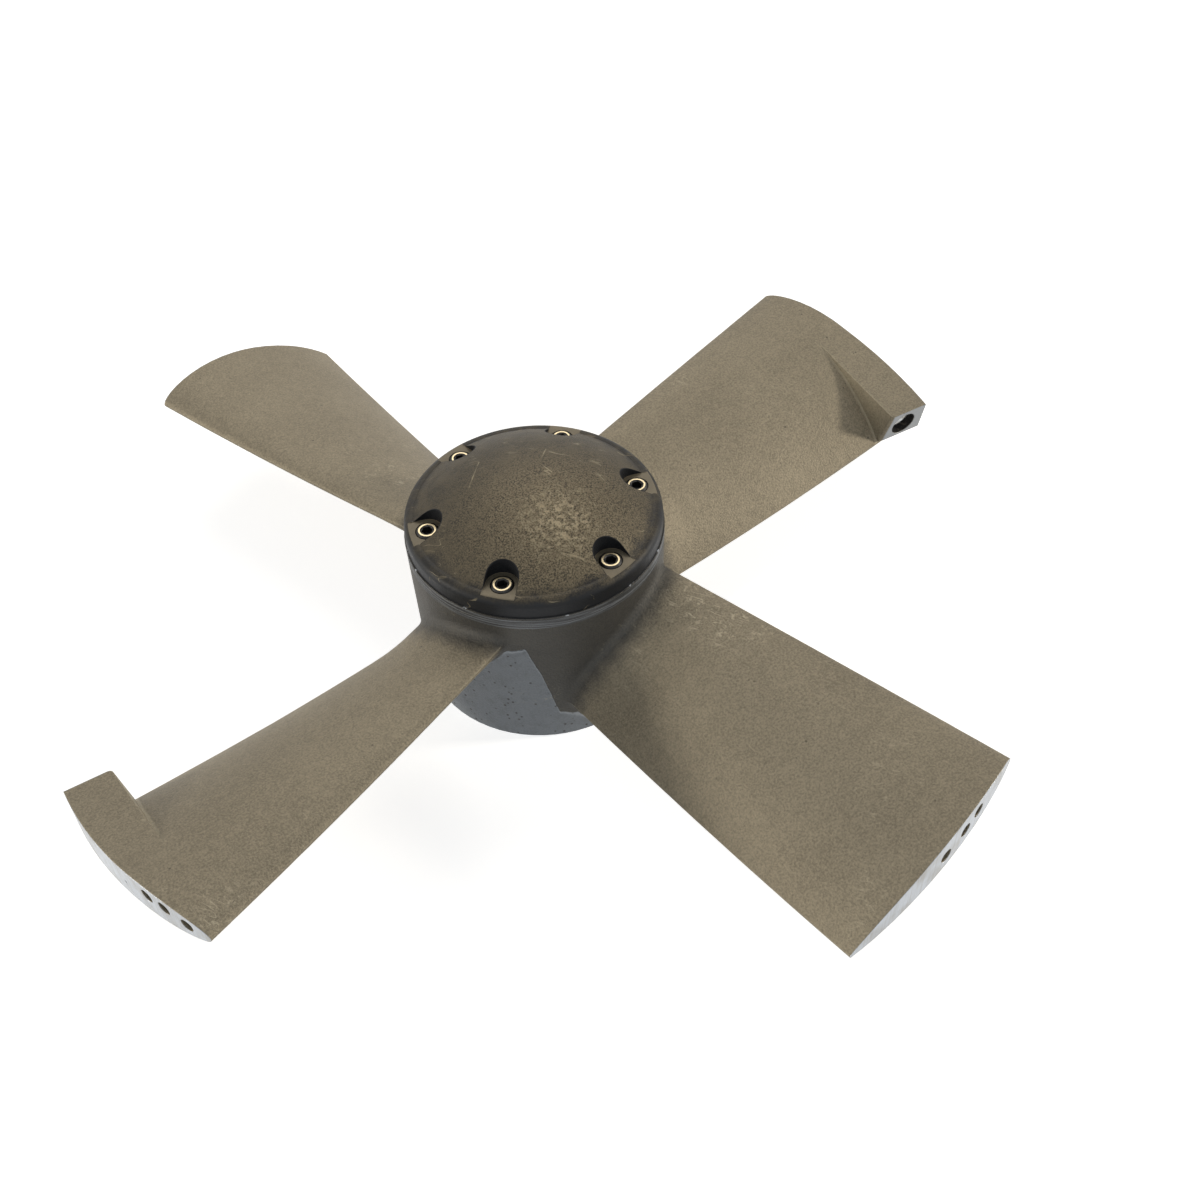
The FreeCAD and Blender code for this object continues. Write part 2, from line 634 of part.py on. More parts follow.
def bearing(base):
    """The five pieces of one bearing, by name."""
    middle = Vector(0, 0, base + BEARING_WIDTH / 2)
    groove = race_torus(middle)
    inner = chamfered_ring(SPINDLE_RADIUS, INNER_LAND_RADIUS, base, BEARING_WIDTH, True)
    outer = chamfered_ring(OUTER_LAND_RADIUS, BEARING_OUTER_RADIUS, base, BEARING_WIDTH, False)
    return {"inner_ring": inner.cut(groove),
            "outer_ring": outer.cut(groove),
            "balls": bearing_balls(middle),
            "cage": bearing_cage(middle),
            "shields": bearing_shields(base)}


def inner_spacer():
    """The sleeve between the bearings' inner rings, with the same bore."""
    return ring(SPINDLE_RADIUS, SPINDLE_RADIUS + INNER_SPACER_WALL,
                LOWER_BEARING_TOP, SPACER_LENGTH)


def outer_spacer():
    """The sleeve between the bearings' outer rings."""
    return ring(BEARING_OUTER_RADIUS - OUTER_SPACER_WALL, BEARING_OUTER_RADIUS,
                LOWER_BEARING_TOP, SPACER_LENGTH)


def retaining_ring():
    """The open spring ring that holds the bearings in the tower, with its two eyes."""
    outer_radius = BEARING_OUTER_RADIUS + RETAINER_GROOVE
    band = ring(outer_radius - RETAINER_RADIAL, outer_radius,
                UPPER_BEARING_TOP, RETAINER_THICKNESS)
    gap = Part.makeBox(outer_radius, RETAINER_GAP, RETAINER_THICKNESS,
                       Vector(0, -RETAINER_GAP / 2, UPPER_BEARING_TOP))
    band = band.cut(gap)
    eye_circle = outer_radius - RETAINER_RADIAL
    lugs = []
    eyes = []
    for side in (-1, 1):
        offset = side * (RETAINER_GAP / 2 + RETAINER_LUG_RADIUS)
        reach = math.sqrt(eye_circle ** 2 - offset ** 2)
        place = Vector(reach, offset, UPPER_BEARING_TOP)
        lugs.append(Part.makeCylinder(RETAINER_LUG_RADIUS, RETAINER_THICKNESS, place))
        eyes.append(Part.makeCylinder(RETAINER_EYE_RADIUS, RETAINER_THICKNESS, place))
    return band.fuse(lugs).cut(eyes)


def shaft_seal():
    """The lip seal under the lower bearing, its lip just clear of the spindle's size."""
    base = SHAFT_SEAL_RECESS
    top = base + SHAFT_SEAL_HEIGHT
    lip_radius = SPINDLE_RADIUS + SHAFT_SEAL_LIP_GAP
    web_top = base + SHAFT_SEAL_WEB
    shell_radius = SHAFT_SEAL_RADIUS - SHAFT_SEAL_WALL
    lip_back = lip_radius + SHAFT_SEAL_LIP
    return revolved([(lip_back, base),
                     (SHAFT_SEAL_RADIUS, base),
                     (SHAFT_SEAL_RADIUS, top),
                     (shell_radius, top),
                     (shell_radius, web_top),
                     (lip_back + SHAFT_SEAL_LIP, web_top),
                     (lip_back, top - SHAFT_SEAL_WEB),
                     (lip_radius, top - SHAFT_SEAL_WEB - SHAFT_SEAL_LIP)])


def build_parts():
    """Every piece of the impeller, by the name of its node."""
    half_turn = 180.0
    insert = nozzle_insert()
    parts = {"impeller": impeller(),
             "hub_cover": hub_cover(),
             "cover_screws": cover_screws(),
             "cover_seal_ring": cover_seal(),
             "first_nozzle": insert,
             "second_nozzle": turned(insert, half_turn),
             "inner_spacer": inner_spacer(),
             "outer_spacer": outer_spacer(),
             "retaining_ring": retaining_ring(),
             "shaft_seal": shaft_seal()}
    for level, base in (("lower", LOWER_BEARING_BASE), ("upper", UPPER_BEARING_BASE)):
        for piece, shape in bearing(base).items():
            parts[level + "_bearing_" + piece] = shape
    return parts


os.makedirs("parts", exist_ok=True)
for node, shape in build_parts().items():
    shape.exportStep("parts/" + node + ".step")
    size = shape.BoundBox
    print(node, "solids", len(shape.Solids), "valid", shape.isValid(),
          "volume", round(shape.Volume / 1000.0, 2), "faces", len(shape.Faces),
          "height", round(size.ZMin, 2), round(size.ZMax, 2))
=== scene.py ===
import logging
import math
from dataclasses import dataclass, field
from enum import Enum
from functools import reduce

import bmesh
import bpy
from mathutils import Matrix, Vector


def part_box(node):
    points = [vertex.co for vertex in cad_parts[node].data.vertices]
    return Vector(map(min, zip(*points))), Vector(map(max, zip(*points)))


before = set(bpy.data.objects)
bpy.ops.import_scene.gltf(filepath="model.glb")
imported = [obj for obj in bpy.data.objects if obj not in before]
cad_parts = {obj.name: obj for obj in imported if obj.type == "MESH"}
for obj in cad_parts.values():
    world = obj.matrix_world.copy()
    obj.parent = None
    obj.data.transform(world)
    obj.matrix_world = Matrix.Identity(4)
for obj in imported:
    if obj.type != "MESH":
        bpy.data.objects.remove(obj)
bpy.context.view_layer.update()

# Looks of a compressed-air axial fan impeller. Metres, in the frame of the solids:
# +Z up along the axis of turning, +X out along the first nozzle blade.

log = logging.getLogger("impeller")

Colour = tuple[float, float, float]
Triple = tuple[float, float, float]
Span = tuple[float, float]  # where a soft step begins and where it is complete
Lift = tuple[float, float]  # a base, and what a full value adds to it
MM = 0.001
MIDDLE = 0.5  # the mean of a noise
EVEN = (1.0, 1.0, 1.0)
FLAT = (1.0, 1.0, 0.0)


def box_of(node: str) -> tuple[Vector, Vector]:
    """The lowest and the highest corner of a solid at rest."""
    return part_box(node)


class Direction(Enum):
    """Ways in which a tool leaves its marks, each with the squeeze that draws them."""

    ROUND_AXIS = (1.0, 1.0, 14.0)
    UPRIGHT = (14.0, 14.0, 1.0)


class Detail(Enum):
    """How many finer layers a noise has."""

    BLURRED = 0.0
    SOFT = 1.0
    CLEAR = 2.0
    RICH = 3.0


class Block(Enum):
    """The two nozzle blocks, each with its side of the axis of turning along X."""

    FIRST = 1.0
    SECOND = -1.0


class Level(Enum):
    """The two bearings in the hub's tower."""

    LOWER = "lower"
    UPPER = "upper"


class Ray(Enum):
    """Rays that show a surface to the camera."""

    STRAIGHT = "Is Camera Ray"
    REFLECTED = "Is Glossy Ray"
    THROUGH_GLASS = "Is Transmission Ray"


class Value:
    """A number in a shader, which takes part in Python sums."""

    def __init__(self, graph: "Graph", socket: bpy.types.NodeSocket) -> None:
        """Wraps an output socket of a node."""
        self.graph = graph
        self.socket = socket

    def _sum(self, operation: str, first: object, second: object = None) -> "Value":
        """Adds the Math node for one sum."""
        sockets = {"Value": first}
        if second is not None:
            sockets["Value_001"] = second
        return self.graph.node("ShaderNodeMath", {"operation": operation}, sockets)

    def __add__(self, other: object) -> "Value":
        """self + other"""
        return self._sum("ADD", self, other)

    def __radd__(self, other: object) -> "Value":
        """other + self"""
        return self._sum("ADD", other, self)

    def __sub__(self, other: object) -> "Value":
        """self - other"""
        return self._sum("SUBTRACT", self, other)

    def __rsub__(self, other: object) -> "Value":
        """other - self"""
        return self._sum("SUBTRACT", other, self)

    def __mul__(self, other: object) -> "Value":
        """self * other"""
        return self._sum("MULTIPLY", self, other)

    def __rmul__(self, other: object) -> "Value":
        """other * self"""
        return self._sum("MULTIPLY", other, self)

    def __abs__(self) -> "Value":
        """abs(self)"""
        return self._sum("ABSOLUTE", self)

    def root(self) -> "Value":
        """The square root."""
        return self._sum("SQRT", self)

    def low(self, other: object) -> "Value":
        """The smaller of two values."""
        return self._sum("MINIMUM", self, other)

    def high(self, other: object) -> "Value":
        """The larger of two values."""
        return self._sum("MAXIMUM", self, other)

    def wrapped(self, period: float) -> "Value":
        """The value brought into the span from zero to a period."""
        return self.graph.node("ShaderNodeMath", {"operation": "WRAP"},
                               {"Value": self, "Value_001": period, "Value_002": 0.0})

    def rise(self, start: float, end: float) -> "Value":
        """A soft step: 0 below start, 1 above end, and the reverse when end is the lower one.

        Args:
            start: where the step begins.
            end: where the step is complete.

        Returns:
            The step as a value from 0 to 1.
        """
        return self.graph.node("ShaderNodeMapRange", {"interpolation_type": "SMOOTHSTEP"},
                               {"Value": self, "From Min": start, "From Max": end,
                                "To Min": 0.0, "To Max": 1.0})

    def lifted(self, base: float, gain: float) -> "Value":
        """A base, with the value times a gain on top."""
        return base + self * gain

    def through(self, points: list[tuple[float, float]]) -> "Value":
        """The broken line through points that lie between 0 and 1 both ways."""
        return self.graph.node("ShaderNodeFloatCurve", {"points": points}, {"Value": self})


def highest(values: list[Value]) -> Value:
    """The largest of several values."""
    return reduce(Value.high, values)


class Graph:
    """Nodes built one by one, with the sums between them written in Python."""

    def __init__(self, tree: bpy.types.NodeTree, output: str) -> None:
        """Empties a node tree.

        Args:
            tree: the tree of a material or of the world.
            output: the type of its output node.
        """
        self.tree = tree
        tree.nodes.clear()
        self.output = tree.nodes.new(output)

    def node(self, kind: str, settings: dict[str, object], sockets: dict[str, object],
             result: str | None = None) -> Value:
        """Adds any node.

        Args:
            kind: the node's type.
            settings: its settings, set first. "points" holds the points of a curve.
            sockets: numbers, colours or values for its inputs, by identifier.
            result: the identifier of the output to return, or None for the first one.

        Returns:
            The chosen output.
        """
        made = self.tree.nodes.new(kind)
        for key, setting in settings.items():
            if key == "points":
                self._set_points(made, setting)
            else:
                setattr(made, key, setting)
        for key, given in sockets.items():
            socket = next(entry for entry in made.inputs if entry.identifier == key)
            if isinstance(given, Value):
                self.tree.links.new(given.socket, socket)
            else:
                socket.default_value = self._fitted(socket, given)
        outputs = [entry for entry in made.outputs if result in (None, entry.identifier)]
        return Value(self, outputs[0])

    @staticmethod
    def _fitted(socket: bpy.types.NodeSocket, given: object) -> object:
        """A colour gets its alpha, and anything else stays as it is."""
        if socket.type == "RGBA" and len(given) == 3:
            return (*given, 1.0)
        return given

    @staticmethod
    def _set_points(curve: bpy.types.Node, points: list[tuple[float, float]]) -> None:
        """Draws a curve node as a broken line through its points."""
        line = curve.mapping.curves[0].points
        for place in points[2:]:
            line.new(*place)
        for entry, place in zip(line, sorted(points)):
            entry.location = place
            entry.handle_type = "VECTOR"
        curve.mapping.update()

    def seen(self) -> Value:
        """1 where the camera sees a surface, straight or through a reflection or glass."""
        rays = [self.node("ShaderNodeLightPath", {}, {}, ray.value) for ray in Ray]
        return highest(rays)

    def blend(self, first: Value, second: Value, share: Value) -> Value:
        """A surface between two surfaces."""
        return self.node("ShaderNodeMixShader", {},
                         {"Fac": share, "Shader": first, "Shader_001": second})

    def close(self, surface: Value) -> None:
        """Joins the finished surface to the output."""
        self.tree.links.new(surface.socket, self.output.inputs["Surface"])


class Shader(Graph):
    """One material."""

    SCRATCH_STRETCH: Triple = (0.12, 1.0, 1.0)
    SCRATCH_GAPS: Span = (0.5, 0.62)
    EDGE_SAMPLES: int = 2
    EDGE_SPAN: Span = (0.015, 0.15)

    def __init__(self, name: str) -> None:
        """Starts an empty material.

        Args:
            name: the material's name.
        """
        self.material = bpy.data.materials.new(name)
        self.material.use_nodes = True
        super().__init__(self.material.node_tree, "ShaderNodeOutputMaterial")
        self.place = self.node("ShaderNodeTexCoord", {}, {}, "Object")

    def axis(self, letter: str) -> Value:
        """One coordinate of the place on the object, in metres."""
        return self.node("ShaderNodeSeparateXYZ", {}, {"Vector": self.place}, letter)

    def radius(self) -> Value:
        """The distance from the axis of turning."""
        flat = self.node("ShaderNodeVectorMath", {"operation": "MULTIPLY"},
                         {"Vector": self.place, "Vector_001": FLAT})
        return self.node("ShaderNodeVectorMath", {"operation": "LENGTH"},
                         {"Vector": flat}, "Value")

    def angle(self) -> Value:
        """The angle about the axis of turning, in radians from -pi to pi."""
        return self.node("ShaderNodeMath", {"operation": "ARCTAN2"},
                         {"Value": self.axis("Y"), "Value_001": self.axis("X")})

    def distance_to(self, spot: Vector) -> Value:
        """The distance from a point."""
        return self.node("ShaderNodeVectorMath", {"operation": "DISTANCE"},
                         {"Vector": self.place, "Vector_001": tuple(spot)}, "Value")

    def along(self, way: Vector) -> Value:
        """The distance from the origin along a direction."""
        return self.node("ShaderNodeVectorMath", {"operation": "DOT_PRODUCT"},
                         {"Vector": self.place, "Vector_001": tuple(way)}, "Value")

    def upward(self) -> Value:
        """How far the surface faces up: 1 for level, 0 for upright, -1 for facing down."""
        normal = self.node("ShaderNodeNewGeometry", {}, {}, "Normal")
        return self.node("ShaderNodeSeparateXYZ", {}, {"Vector": normal}, "Z")

    def noise(self, size: float, detail: Detail = Detail.CLEAR, stretch: Triple = EVEN,
              roughness: float = 0.5, turn: float = 0.0) -> Value:
        """Noise from 0 to 1.

        Args:
            size: the size of its features in metres.
            detail: how many finer layers it has.
            stretch: how far it is squeezed along each axis.
            roughness: the share of the finer layers.
            turn: the angle in degrees by which it is turned about the upright axis.

        Returns:
            The noise's value.
        """
        place = self.place
        if turn:
            place = self.node("ShaderNodeVectorRotate", {"rotation_type": "Z_AXIS"},
                              {"Vector": place, "Angle": math.radians(turn)})
        place = self.node("ShaderNodeVectorMath", {"operation": "MULTIPLY"},
                          {"Vector": place, "Vector_001": stretch})
        return self.node("ShaderNodeTexNoise", {},
                         {"Vector": place, "Scale": 1.0 / size, "Detail": detail.value,
                          "Roughness": roughness}, "Fac")

    def cells(self, size: float) -> Value:
        """The distance to the nearest of many scattered spots, as a share of their spacing."""
        return self.node("ShaderNodeTexVoronoi", {},
                         {"Vector": self.place, "Scale": 1.0 / size}, "Distance")

    def scratches(self, length: float, turn: float, width: float) -> Value:
        """Long thin lines that wander about one direction.

        Args:
            length: about how long they are in metres.
            turn: their direction in degrees about the upright axis.
            width: their width as a share of their spacing.

        Returns:
            1 in the lines and 0 between them.
        """
        bands = self.noise(length / 5, Detail.SOFT, self.SCRATCH_STRETCH, turn=turn)
        gaps = self.noise(length / 2, Detail.SOFT, turn=turn).rise(*self.SCRATCH_GAPS)
        return abs(bands - MIDDLE).rise(width * 2, width) * gaps

    def stroke(self, start: Vector, end: Vector, width: float) -> Value:
        """A single straight scratch between two places, seen from above.

        Args:
            start: where it starts.
            end: where it ends.
            width: its width in metres.

        Returns:
            1 in the scratch and 0 elsewhere.
        """
        length = (end - start).length
        way = (end - start).normalized()
        side = Vector((-way.y, way.x, 0.0))
        run = self.along(way) - start.dot(way)
        across = abs(self.along(side) - start.dot(side))
        between = run.rise(-width, 0.0) * run.rise(length + width, length)
        return between * across.rise(width, width / 3)

    def edges(self, reach: float) -> tuple[Value, Value]:
        """Finds the edges of the shape.

        Args:
            reach: how far from an edge it counts, in metres.

        Returns:
            A normal that rounds the edges, and how far each place lies on an edge.
        """
        rounded = self.node("ShaderNodeBevel", {"samples": self.EDGE_SAMPLES},
                            {"Radius": reach})
        true = self.node("ShaderNodeNewGeometry", {}, {}, "Normal")
        likeness = self.node("ShaderNodeVectorMath", {"operation": "DOT_PRODUCT"},
                             {"Vector": rounded, "Vector_001": true}, "Value")
        return rounded, (1.0 - likeness).rise(*self.EDGE_SPAN)

    def mix(self, first: object, second: object, share: object) -> Value:
        """A colour between two colours."""
        return self.node("ShaderNodeMix", {"data_type": "RGBA"},
                         {"Factor_Float": share, "A_Color": first, "B_Color": second},
                         "Result_Color")

    def bump(self, height: Value, depth: float, below: Value | None = None) -> Value:
        """A normal bent by a height from 0 to 1.

        Args:
            height: the height.
            depth: what a height of 1 stands for, in metres.
            below: the normal of a coarser bump to add this one to.

        Returns:
            The bent normal.
        """
        sockets = {"Height": height, "Distance": depth, "Strength": 1.0}
        if below is not None:
            sockets["Normal"] = below
        return self.node("ShaderNodeBump", {}, sockets)

    def finish(self, colour: object, metal: object, roughness: object, normal: Value,
               gloss: float = 0.5) -> bpy.types.Material:
        """Closes the material with its surface.

        Args:
            colour: the base colour.
            metal: how far it shines as a metal does.
            roughness: how dull it is.
            normal: the bent normal.
            gloss: how strongly the part that isn't metal reflects.

        Returns:
            The material.
        """
        sockets = {"Base Color": colour, "Metallic": metal, "Roughness": roughness,
                   "Specular IOR Level": gloss, "Normal": normal}
        self.close(self.node("ShaderNodeBsdfPrincipled", {}, sockets))
        return self.material


@dataclass(frozen=True)
class ScrewPattern:
    """Where the cover screws stand round the axis of turning."""

    count: int = 6
    circle: float = 63.1 * MM
    first_angle: float = 39.35

    def distance(self, shader: Shader, open_outwards: bool = False) -> Value:
        """The distance from the axis of the nearest screw.

        Args:
            shader: the material that asks.
            open_outwards: measures from a slot that runs outwards from the screw.

        Returns:
            The distance in metres, seen from above.
        """
        step = 2 * math.pi / self.count
        turn = (shader.angle() - (math.radians(self.first_angle) - step / 2)).wrapped(step)
        outward = shader.radius() - self.circle
        sideways = (turn - step / 2) * shader.radius()
        if open_outwards:
            outward = outward.low(0.0)
        return (outward * outward + sideways * sideways).root()


@dataclass(frozen=True)
class CastingPalette:
    """The colours of the casting."""

    skin: Colour = (0.235, 0.200, 0.140)
    skin_dark: Colour = (0.115, 0.098, 0.070)
    skin_light: Colour = (0.385, 0.335, 0.240)
    speck: Colour = (0.035, 0.032, 0.027)
    # painted shade at the blades' roots and on the hub's side; also the dark base of the band of
    # turned lines under the rim
    root_shade_and_band_grey: Colour = (0.040, 0.042, 0.044)
    # the smoother skin below the parting line; its bluish tint is a painted reflection of cool
    # light
    smooth_skin_and_cool_reflection: Colour = (0.180, 0.195, 0.210)
    # bright scuffs; also the painted highlight along the blocks' wall feet and on edges
    scuff_and_highlight: Colour = (0.55, 0.49, 0.36)
    # painted shade inside the nozzle bores
    bore_shade: Colour = (0.025, 0.024, 0.022)
    machined: Colour = (0.50, 0.53, 0.57)
    end_face: Colour = (0.25, 0.26, 0.265)


@dataclass(frozen=True)
class CastSkin:
    """The grit-blasted skin that covers the whole casting."""

    grain_size: float = 1.2 * MM
    grain_roughness: float = 0.6
    coarse_size: float = 7 * MM
    cloud_size: float = 60 * MM
    layer_shares: Triple = (0.72, 0.13, 0.15)
    tone_span: Span = (0.28, 0.72)
    contrast: float = 0.55
    speck_spacing: float = 7 * MM
    speck_radii: Span = (0.13, 0.07)
    speck_patch_size: float = 14 * MM
    speck_patch_span: Span = (0.55, 0.65)
    speck_strength: float = 0.6

    def layers(self, shader: Shader) -> tuple[Value, Value]:
        """The fine and the coarse layer of the blasted surface."""
        fine = shader.noise(self.grain_size, roughness=self.grain_roughness)
        return fine, shader.noise(self.coarse_size)

    def colour(self, shader: Shader, palette: CastingPalette, grain: Value,
               coarse: Value) -> Value:
        """Mixes the colour of the skin.

        Args:
            shader: the material.
            palette: its colours.
            grain: the fine layer.
            coarse: the coarse layer.

        Returns:
            The colour.
        """
        fine_share, coarse_share, cloud_share = self.layer_shares
        clouds = shader.noise(self.cloud_size)
        tone = grain * fine_share + coarse * coarse_share + clouds * cloud_share
        toned = shader.mix(palette.skin_dark, palette.skin_light, tone.rise(*self.tone_span))
        colour = shader.mix(palette.skin, toned, self.contrast)
        patches = shader.noise(self.speck_patch_size, Detail.SOFT).rise(*self.speck_patch_span)
        specks = shader.cells(self.speck_spacing).rise(*self.speck_radii) * patches
        return shader.mix(colour, palette.speck, specks * self.speck_strength)


@dataclass(frozen=True)
class HubSide:
    """The hub's side: painted shade above the mould's parting line, smoother and pitted below it.
    """

    foot_radius: float = 74.2 * MM
    taper: float = 0.02374
    # where and how strongly shade is painted onto the hub's side and the blades' roots
    root_shade_span: Span = (20 * MM, 4 * MM)
    root_shade_wander: float = 6 * MM
    root_shade_strength: float = 0.84
    side_span: Span = (1.2 * MM, 0.4 * MM)
    step: float = 0.7 * MM
    step_wander: float = 5 * MM
    # the painted highlight along the top edge of the parting line's step: how far below the line
    # it reaches, and how strongly it is painted
    line_depth: float = 3 * MM
    line_strength: float = 0.3
    line_points: tuple[tuple[float, float], ...] = (
        (0.0, 0.0), (3.0, 0.0), (8.0, 52.0), (39.45, 79.8), (50.1, 82.9), (52.5, 74.2),
        (55.7, 62.0), (62.9, 23.3), (72.0, 18.2), (80.4, 2.7), (82.0, 0.0), (90.0, 0.0))
    line_scale: tuple[float, float] = (90.0, 100.0)
    pit_spacing: float = 4.5 * MM
    pit_radii: Span = (0.24, 0.1)
    pit_patch_size: float = 11 * MM
    pit_patch_span: Span = (0.44, 0.54)
    flaw_centres: tuple[float, float] = (0.45, MIDDLE)
    flaw_gains: tuple[float, float] = (0.7, 0.5)
    flaw_strength: float = 0.9

    def below_parting_line(self, shader: Shader) -> Value:
        """How far below the mould's parting line a place lies, in metres."""
        quarter = math.pi / 2
        widest, highest_point = self.line_scale
        points = [(angle / widest, height / highest_point) for angle, height in self.line_points]
        turn = shader.angle().wrapped(quarter) * (1.0 / quarter)
        return turn.through(points) * (highest_point * MM) - shader.axis("Z")

    def pits(self, shader: Shader) -> Value:
        """Small casting flaws in loose groups."""
        groups = shader.noise(self.pit_patch_size, Detail.SOFT).rise(*self.pit_patch_span)
        return shader.cells(self.pit_spacing).rise(*self.pit_radii) * groups

    def colour(self, shader: Shader, palette: CastingPalette, skin: Value, grain: Value,
               coarse: Value) -> tuple[Value, Value]:
        """Paints shade onto the hub's side and the blades' roots, and colours the zone below the
        parting line.
            palette: its colours.
            skin: the colour so far.
            grain: the fine layer of the skin.
            coarse: the coarse layer of the skin.

        Returns:
            The colour, and 1 in the zone below the parting line.
        """
        gap = shader.radius() - shader.axis("Z") * self.taper - self.foot_radius
        # painted shade: the hub's side and the blades' roots, near the hub's cone, painted a dark
        # grey
        root = (gap + coarse * self.root_shade_wander).rise(*self.root_shade_span)
        colour = shader.mix(skin, palette.root_shade_and_band_grey, root * self.root_shade_strength)
        on_side = gap.rise(*self.side_span)
        below = self.below_parting_line(shader) + (coarse - MIDDLE) * self.step_wander
        zone = below.rise(-self.step, self.step) * on_side
        # painted highlight: a light line in the machined colour along the top edge of the parting
        # line's step
        line = below.rise(-self.step, 0.0) * below.rise(self.line_depth, self.step) * on_side
        flaws = self.pits(shader)
        for layer, centre, gain in zip((coarse, grain), self.flaw_centres, self.flaw_gains):
            flaws = flaws + (layer - centre) * gain
        # the zone below the parting line: a smoother, pitted skin whose bluish tint is a painted
        # cool reflection
        smooth = shader.mix(palette.smooth_skin_and_cool_reflection, palette.speck,
                            flaws.high(0.0).low(1.0) * self.flaw_strength)
        colour = shader.mix(colour, smooth, zone)
        return shader.mix(colour, palette.machined, line * self.line_strength), zone


@dataclass(frozen=True)
class MachinedFaces:
    """The blades' turned tips, and the hub's rim and base."""

    tip_radius: float = 300 * MM
    tip_span: Span = (-0.25 * MM, -0.1 * MM)
    rim_span: Span = (-0.4 * MM, -0.1 * MM)
    base_span: Span = (0.4 * MM, 0.1 * MM)
    mark_size: float = 1.2 * MM
    mark_stretch: Triple = (1.0, 1.0, 0.06)
    mark_span: Span = (0.4, 0.75)
    mark_strength: float = 0.25
    stain_size: float = 16 * MM
    stain_span: Span = (0.42, 0.68)
    stain_strength: float = 0.3

    def colour(self, shader: Shader, palette: CastingPalette, skin: Value,
               rim_height: float) -> tuple[Value, Value, Value]:
        """Colours the machined faces.

        Args:
            shader: the material.
            palette: its colours.
            skin: the colour so far.
            rim_height: the height of the hub's rim.

        Returns:
            The colour, the height of the tool marks, and 1 on the faces.
        """
        tip = (shader.radius() - self.tip_radius).rise(*self.tip_span)
        rim = (shader.axis("Z") - rim_height).rise(*self.rim_span)
        base = shader.axis("Z").rise(*self.base_span)
        faces = highest([tip, rim, base])
        marks = shader.noise(self.mark_size, Detail.SOFT, self.mark_stretch)
        stain = shader.noise(self.stain_size).rise(*self.stain_span)
        dulled = marks.rise(*self.mark_span) * self.mark_strength + stain * self.stain_strength
        bright = shader.mix(palette.machined, palette.skin, dulled)
        return shader.mix(skin, bright, faces), marks * faces, faces


@dataclass(frozen=True)
class NozzleBlocks:
    """The two nozzle blocks. All places are those of the block along +X."""

    nozzle: Vector = Vector((283.0, -24.71, 50.85)) * MM
    end_turn: float = 6.0
    end_slope: float = 0.217
    block_span: Span = (262 * MM, 265 * MM)
    face_span: Span = (0.3 * MM, 0.15 * MM)
    bore_span: Span = (9.5 * MM, 9.25 * MM)
    bore_mouth: Span = (0.2 * MM, 0.5 * MM)
    bore_end: Span = (45 * MM, 42 * MM)
    wall_foot: Vector = Vector((267.0, 0.0, 39.1)) * MM
    wall_slope: float = 0.235
    wall_lean: float = 0.178
    # where the painted highlight along each block's wall foot lies, and how strongly it is
    # painted
    foot_inside: Span = (-2.4 * MM, -1.2 * MM)
    foot_outside: Span = (0.3 * MM, -0.2 * MM)
    foot_start: Span = (-8 * MM, -4 * MM)
    foot_end: Span = (82 * MM, 40 * MM)
    highlight_facing_up: Span = (0.1, 0.3)
    foot_highlight_strength: float = 0.42

    def end(self, shader: Shader, block: Block) -> tuple[Value, Value]:
        """Finds the end face and the bore of one block.

        Args:
            shader: the material.
            block: the block.

        Returns:
            1 on the end face and 1 in the bore.
        """
        side = block.value
        turn = math.radians(self.end_turn)
        way = Vector((side * math.sin(turn), side * math.cos(turn), self.end_slope)).normalized()
        place = Vector((side * self.nozzle.x, side * self.nozzle.y, self.nozzle.z))
        run = shader.along(way) - place.dot(way)
        reach = shader.distance_to(place)
        off = (reach * reach - run * run).high(0.0).root()
        on_block = (shader.axis("X") * side).rise(*self.block_span)
        depth = run.rise(*self.bore_mouth) * run.rise(*self.bore_end)
        face = abs(run).rise(*self.face_span) * on_block
        return face, off.rise(*self.bore_span) * depth * on_block

    def foot(self, shader: Shader, block: Block) -> Value:
        """Finds the rounded foot of one block's inner wall, where a highlight is painted.

        Args:
            shader: the material.
            block: the block.

        Returns:
            1 along the foot.
        """
        ahead = shader.axis("Y") * block.value - self.nozzle.y
        lift = shader.axis("Z") - self.wall_foot.z - ahead * self.wall_slope
        out = shader.axis("X") * block.value - self.wall_foot.x - lift * self.wall_lean
        across = out.rise(*self.foot_inside) * out.rise(*self.foot_outside)
        return across * ahead.rise(*self.foot_start) * ahead.rise(*self.foot_end)

    def colour(self, shader: Shader, palette: CastingPalette,
               skin: Value) -> tuple[Value, Value]:
        """Colours the end faces, and paints shade into the bores and a highlight along the feet
        of both blocks.

        Args:
            shader: the material.
            palette: its colours.
            skin: the colour so far.

        Returns:
            The colour, and 1 on the end faces.
        """
        ends = [self.end(shader, block) for block in Block]
        faces = highest([face for face, _ in ends])
        # painted shade: the bores painted near black
        shaded_bores = highest([bore for _, bore in ends])
        # painted highlight: a light line along each inner wall's foot, on faces that look up
        foot_highlights = highest([self.foot(shader, block) for block in Block])
        foot_highlights = foot_highlights * shader.upward().rise(*self.highlight_facing_up)
        colour = shader.mix(skin, palette.end_face, faces)
        colour = shader.mix(colour, palette.scuff_and_highlight, foot_highlights * self.foot_highlight_strength)
        return shader.mix(colour, palette.bore_shade, shaded_bores), faces


